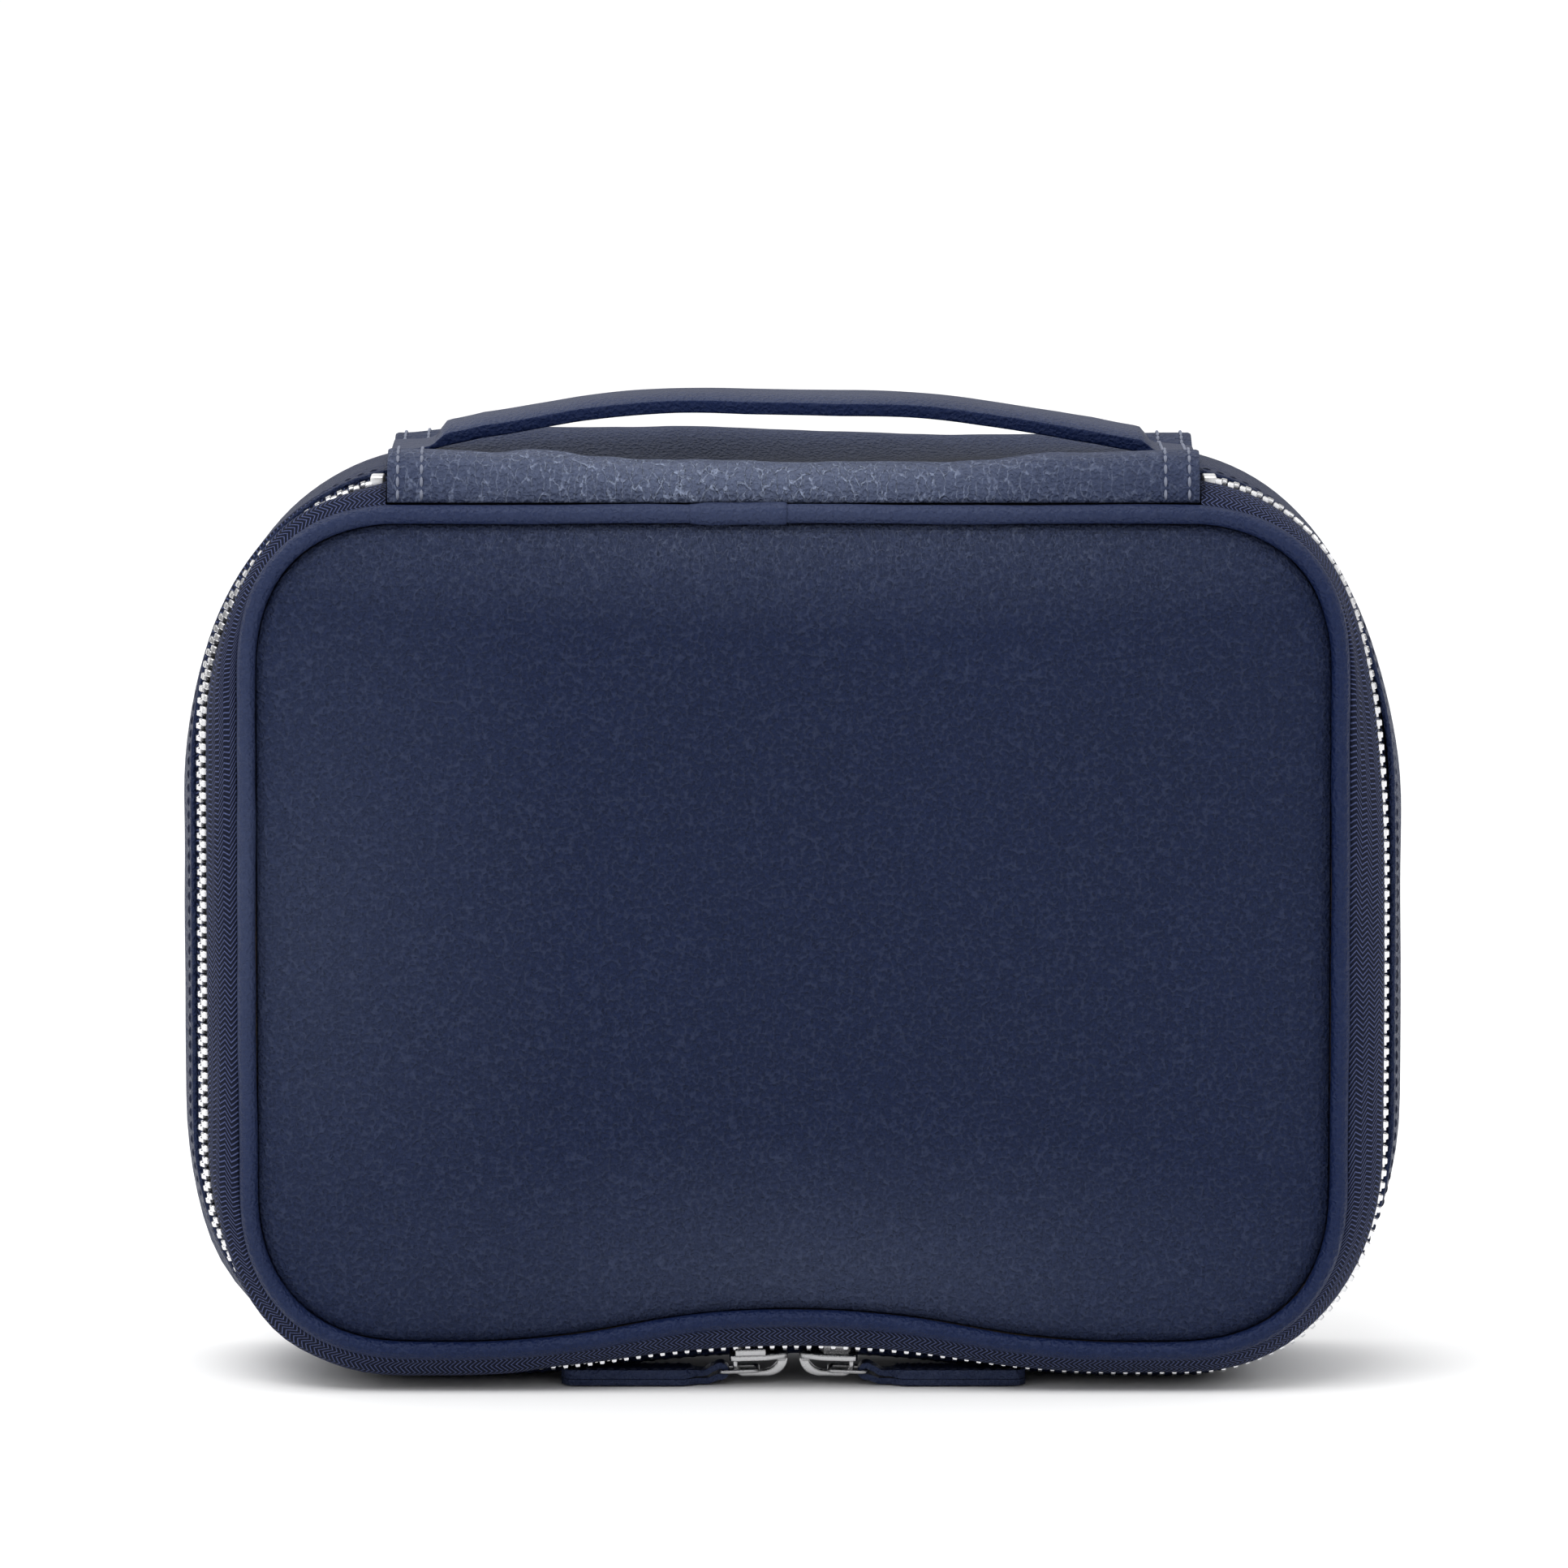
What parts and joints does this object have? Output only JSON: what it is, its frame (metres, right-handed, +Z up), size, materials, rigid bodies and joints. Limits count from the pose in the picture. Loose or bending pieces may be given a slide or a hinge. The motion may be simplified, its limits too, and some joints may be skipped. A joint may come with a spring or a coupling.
{
  "type": "zip-around jewellery case",
  "caption": "Padded navy leather zip-around jewellery case with piped panels, a top strap handle, two zip sliders and a divided suede tray.",
  "frame": {"origin": "middle of the case's outline, at the level of the two flats under the gusset that it stands on", "axes": "+X to the right and +Y to the back seen from the zipped lid's side, +Z up towards the handle"},
  "size_m": [0.2594, 0.076, 0.2102],
  "materials": {
    "navy leather": "smooth grained, satin",
    "foam": "open-cell foam",
    "stiff board": "matt",
    "zip tape": "herringbone woven",
    "zip metal": "polished nickel",
    "suede lining": "brushed suede cloth"
  },
  "bodies": {
    "base": {"back_panel_leather": "navy leather", "back_panel_foam": "foam", "back_panel_board": "stiff board", "back_piping": "navy leather", "back_piping_sleeve": "navy leather", "zip_tape_back": "zip tape", "zip_teeth_back": "zip metal", "spine_back": "navy leather", "zip_stop_back_left": "zip metal", "zip_stop_back_right": "zip metal", "gusset_leather": "navy leather", "gusset_board": "stiff board", "tray_liner": "suede lining", "divider_long": "suede lining", "divider_upper_1": "suede lining", "divider_upper_2": "suede lining", "divider_lower_1": "suede lining", "divider_lower_2": "suede lining", "ring_pad": "foam", "ring_roll_1": "suede lining", "ring_roll_2": "suede lining", "ring_roll_3": "suede lining", "ring_roll_4": "suede lining", "ring_roll_5": "suede lining", "ring_roll_6": "suede lining", "ring_roll_7": "suede lining", "handle_end_left": "navy leather", "handle_end_right": "navy leather"},
    "lid": {"front_panel_leather": "navy leather", "front_panel_foam": "foam", "front_panel_board": "stiff board", "front_piping": "navy leather", "front_piping_sleeve": "navy leather", "zip_tape_front": "zip tape", "zip_teeth_front": "zip metal", "zip_stop_front_left": "zip metal", "zip_stop_front_right": "zip metal", "spine_front": "navy leather", "lid_lining": "suede lining", "lid_pocket": "suede lining", "strap_stud_1": "zip metal", "strap_stud_2": "zip metal", "strap_stud_3": "zip metal"},
    "handle": {"handle": "navy leather"},
    "necklace_strap_1": {"necklace_strap_1": "navy leather", "strap_cap_1": "zip metal"},
    "necklace_strap_2": {"necklace_strap_2": "navy leather", "strap_cap_2": "zip metal"},
    "necklace_strap_3": {"necklace_strap_3": "navy leather", "strap_cap_3": "zip metal"},
    "slider_left": {"slider_left": "zip metal"},
    "pull_ring_left": {"pull_ring_left": "zip metal"},
    "pull_tab_left": {"pull_tab_left": "navy leather"},
    "slider_right": {"slider_right": "zip metal"},
    "pull_ring_right": {"pull_ring_right": "zip metal"},
    "pull_tab_right": {"pull_tab_right": "navy leather"}
  },
  "joints": [
    {"name": "lid_hinge", "type": "hinge", "parent": "base", "child": "lid", "pos_m": [0, -0.022, 0.199], "axis": [-1, 0, 0], "range_deg": [0, 140]},
    {"name": "slider_left_run", "type": "hinge", "parent": "base", "child": "slider_left", "pos_m": [0, -0.022, -0.2284], "axis": [0, -1, 0], "range_deg": [0, 5]},
    {"name": "pull_ring_left_swing", "type": "hinge", "parent": "slider_left", "child": "pull_ring_left", "pos_m": [-0.00764, -0.022, 0.00325], "axis": [0, -1, 0], "range_deg": [0, 75]},
    {"name": "pull_tab_left_swing", "type": "hinge", "parent": "pull_ring_left", "child": "pull_tab_left", "pos_m": [-0.01554, -0.022, 0.00301], "axis": [0, -1, 0], "range_deg": [0, 25]},
    {"name": "slider_right_run", "type": "hinge", "parent": "base", "child": "slider_right", "pos_m": [0, -0.022, -0.2284], "axis": [0, 1, 0], "range_deg": [0, 5]},
    {"name": "pull_ring_right_swing", "type": "hinge", "parent": "slider_right", "child": "pull_ring_right", "pos_m": [0.00764, -0.022, 0.00325], "axis": [0, 1, 0], "range_deg": [0, 75]},
    {"name": "pull_tab_right_swing", "type": "hinge", "parent": "pull_ring_right", "child": "pull_tab_right", "pos_m": [0.01554, -0.022, 0.00301], "axis": [0, 1, 0], "range_deg": [0, 25]},
    {"name": "handle_lift", "type": "slide", "parent": "base", "child": "handle", "axis": [0, 0, 1], "range_m": [-0.002, 0.008], "stiffness_N_per_m": 300},
    {"name": "necklace_strap_1_flex", "type": "hinge", "parent": "lid", "child": "necklace_strap_1", "pos_m": [-0.065, -0.0272, 0.183], "axis": [1, 0, 0], "range_deg": [0, 70]},
    {"name": "necklace_strap_2_flex", "type": "hinge", "parent": "lid", "child": "necklace_strap_2", "pos_m": [0.02, -0.0272, 0.183], "axis": [1, 0, 0], "range_deg": [0, 70]},
    {"name": "necklace_strap_3_flex", "type": "hinge", "parent": "lid", "child": "necklace_strap_3", "pos_m": [0.086, -0.0272, 0.183], "axis": [1, 0, 0], "range_deg": [0, 70]}
  ]
}
